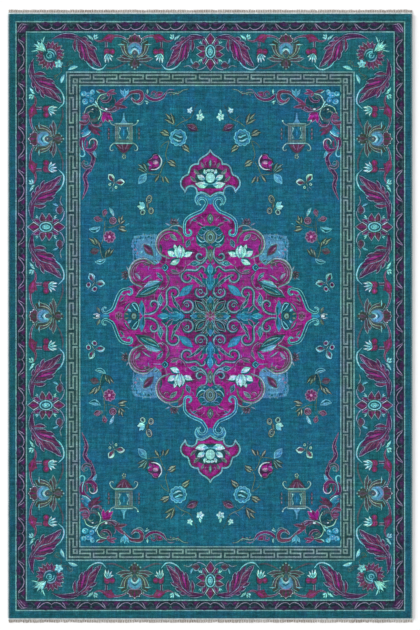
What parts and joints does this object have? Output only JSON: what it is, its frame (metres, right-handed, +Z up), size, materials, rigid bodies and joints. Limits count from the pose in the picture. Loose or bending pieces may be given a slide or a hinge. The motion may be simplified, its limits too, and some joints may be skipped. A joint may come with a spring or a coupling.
{
  "type": "chenille rug",
  "caption": "Flat rectangular chenille rug with a patterned field and borders, overcast side edges and a short tassel fringe at each end.",
  "frame": {"origin": "on the floor under the middle of the rug", "axes": "+Z up, Y along the rug's length, X across its width"},
  "size_m": [2, 3.038, 0.0056],
  "materials": {
    "chenille": "matt cut chenille pile, woven in teal, magenta, plum and pale greens",
    "edge_thread": "matt overcast thread",
    "fringe_yarn": "matt undyed yarn"
  },
  "bodies": {
    "root": {"rug_cloth": "chenille", "edge_cord_left": "edge_thread", "edge_cord_right": "edge_thread", "fringe_far": "fringe_yarn", "fringe_near": "fringe_yarn"}
  },
  "joints": []
}
